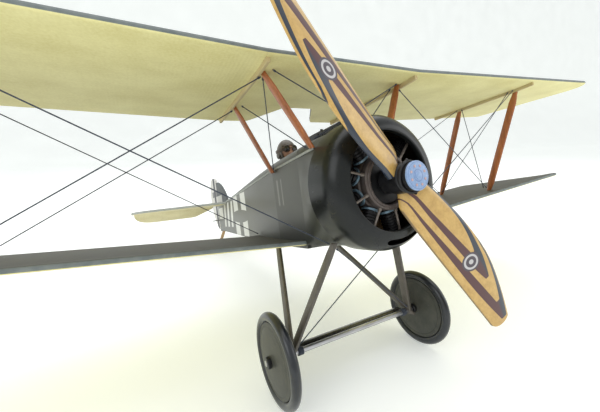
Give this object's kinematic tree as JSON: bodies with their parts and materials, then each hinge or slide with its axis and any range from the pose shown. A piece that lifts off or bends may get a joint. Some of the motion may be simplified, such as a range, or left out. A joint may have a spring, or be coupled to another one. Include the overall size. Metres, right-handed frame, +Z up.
{
  "type": "radio-controlled model biplane",
  "caption": "Small-scale foam model biplane with rotary-engine nose, wooden struts, thread rigging, spoked-look wheels with covers and moving control surfaces.",
  "frame": {"origin": "on the ground under the middle of the overall length and span, with the model standing on its wheels and tailskid", "axes": "+X to the model's port side along the span, +Y aft from the propeller to the rudder, +Z up; the nose points up 12 degrees"},
  "size_m": [0.3696, 0.2732, 0.1305],
  "materials": {
    "fuselage_skin": "satin painted foam sheet",
    "plywood": "matt plywood",
    "cowl_black": "gloss black moulding",
    "crankcase_brown": "satin",
    "cylinder_dark": "matt dark plastic",
    "pushrod_bronze": "dull",
    "stator_copper": "varnished windings",
    "motor_black": "anodised",
    "steel": "ground",
    "adapter_black": "satin",
    "propeller_wood": "varnished laminated wood",
    "hub_blue": "satin printed disc",
    "band_rubber": "matt",
    "pilot_leather": "polished",
    "gun_metal": "satin",
    "strut_wood": "varnished, orange-brown",
    "wing_cream": "matt printed sheet, linen look",
    "rib_brown": "matt",
    "wing_dark": "matt, streaked dark brown",
    "tail_cream": "matt printed sheet",
    "lug_plastic": "matt moulded plastic",
    "fin_grey": "matt",
    "rudder_white": "matt with dark stripes",
    "horn_grey": "matt",
    "skid_wood": "matt",
    "gear_brown": "painted grey-brown",
    "spreader_dark": "gloss",
    "tyre_rubber": "gloss black rubber",
    "wheel_cover": "satin",
    "battery_wrap": "shrink wrap",
    "circuit_green": "solder mask",
    "thread": "dark elastic thread"
  },
  "bodies": {
    "airframe": {"fuselage_side_port": "fuselage_skin", "fuselage_side_starboard": "fuselage_skin", "fuselage_floor": "fuselage_skin", "nose_fairing": "fuselage_skin", "forward_deck": "fuselage_skin", "turtle_deck": "fuselage_skin", "fuselage_formers": "plywood", "cowl": "cowl_black", "crankcase": "crankcase_brown", "engine_cylinders": "cylinder_dark", "engine_pushrods": "pushrod_bronze", "motor_stator": "stator_copper", "hinge_pins": "steel", "axle": "steel", "axle_collars": "adapter_black", "pilot": "pilot_leather", "machine_gun": "gun_metal", "cabane_struts_port": "strut_wood", "cabane_struts_starboard": "strut_wood", "interplane_struts_port": "strut_wood", "interplane_struts_starboard": "strut_wood", "upper_wing_centre": "wing_cream", "upper_wing_port": "wing_cream", "upper_wing_starboard": "wing_cream", "wing_ribs": "rib_brown", "lower_wing_port": "wing_dark", "lower_wing_starboard": "wing_dark", "tailplane": "tail_cream", "hinge_lugs": "lug_plastic", "fin": "fin_grey", "tail_skid": "skid_wood", "gear_leg_front_port": "gear_brown", "gear_leg_front_starboard": "gear_brown", "gear_leg_rear_port": "gear_brown", "gear_leg_rear_starboard": "gear_brown", "spreader_bar": "spreader_dark", "battery": "battery_wrap", "radio_tray": "circuit_green", "flying_wires": "thread", "bracing_wires": "thread"},
    "propeller_assembly": {"motor_bell": "motor_black", "prop_shaft": "steel", "prop_adapter": "adapter_black", "propeller": "propeller_wood", "hub_disc": "hub_blue", "prop_band": "band_rubber"},
    "wheel_port": {"tyre_port": "tyre_rubber", "wheel_disc_port": "wheel_cover"},
    "wheel_starboard": {"tyre_starboard": "tyre_rubber", "wheel_disc_starboard": "wheel_cover"},
    "rudder_assembly": {"rudder": "rudder_white", "rudder_horn": "horn_grey"},
    "elevator_assembly": {"elevator_port": "tail_cream", "elevator_starboard": "tail_cream", "elevator_joiner": "steel"},
    "aileron_port_body": {"aileron_port": "wing_dark"},
    "aileron_starboard_body": {"aileron_starboard": "wing_dark"},
    "hatch": {"battery_hatch": "fuselage_skin"},
    "rudder_rod": {"rudder_pushrod": "steel"},
    "elevator_rod": {"elevator_pushrod": "steel"}
  },
  "joints": [
    {"name": "propeller_spin", "type": "hinge", "parent": "airframe", "child": "propeller_assembly", "pos_m": [0, -0.12431, 0.07706], "axis": [0, 0.9781, -0.2079], "continuous": true},
    {"name": "wheel_port_spin", "type": "hinge", "parent": "airframe", "child": "wheel_port", "pos_m": [0.0343, -0.10253, 0.016], "axis": [1, 0, 0], "continuous": true},
    {"name": "wheel_starboard_spin", "type": "hinge", "parent": "airframe", "child": "wheel_starboard", "pos_m": [-0.0343, -0.10253, 0.016], "axis": [1, 0, 0], "continuous": true},
    {"name": "rudder_hinge", "type": "hinge", "parent": "airframe", "child": "rudder_assembly", "pos_m": [0, 0.10653, 0.028], "axis": [0, 0.2079, 0.9781], "range_deg": [-22, 22]},
    {"name": "elevator_hinge", "type": "hinge", "parent": "airframe", "child": "elevator_assembly", "pos_m": [0, 0.09953, 0.03644], "axis": [1, 0, 0], "range_deg": [0, 46]},
    {"name": "aileron_port_hinge", "type": "hinge", "parent": "airframe", "child": "aileron_port_body", "pos_m": [0.08577, -0.0452, 0.04737], "axis": [0.9965, 0.0174, 0.0818], "range_deg": [-18, 18]},
    {"name": "aileron_starboard_hinge", "type": "hinge", "parent": "airframe", "child": "aileron_starboard_body", "pos_m": [-0.08577, -0.0452, 0.04737], "axis": [0.9965, -0.0174, -0.0818], "range_deg": [-18, 18]},
    {"name": "hatch_hinge", "type": "hinge", "parent": "airframe", "child": "hatch", "pos_m": [0, -0.08535, 0.04874], "axis": [1, 0, 0], "range_deg": [-90, 0]},
    {"name": "rudder_rod_slide", "type": "slide", "parent": "airframe", "child": "rudder_rod", "axis": [0.0203, 0.9779, -0.2079], "range_m": [-0.00235, 0.00235]},
    {"name": "elevator_rod_slide", "type": "slide", "parent": "airframe", "child": "elevator_rod", "axis": [0.0274, 0.9769, -0.212], "range_m": [0, 0.00491]}
  ],
  "couplings": [
    {"joint": "aileron_starboard_hinge", "follows": "aileron_port_hinge", "ratio": -1},
    {"joint": "rudder_rod_slide", "follows": "rudder_hinge", "m_per_rad": 0.006},
    {"joint": "elevator_rod_slide", "follows": "elevator_hinge", "m_per_rad": 0.006}
  ]
}
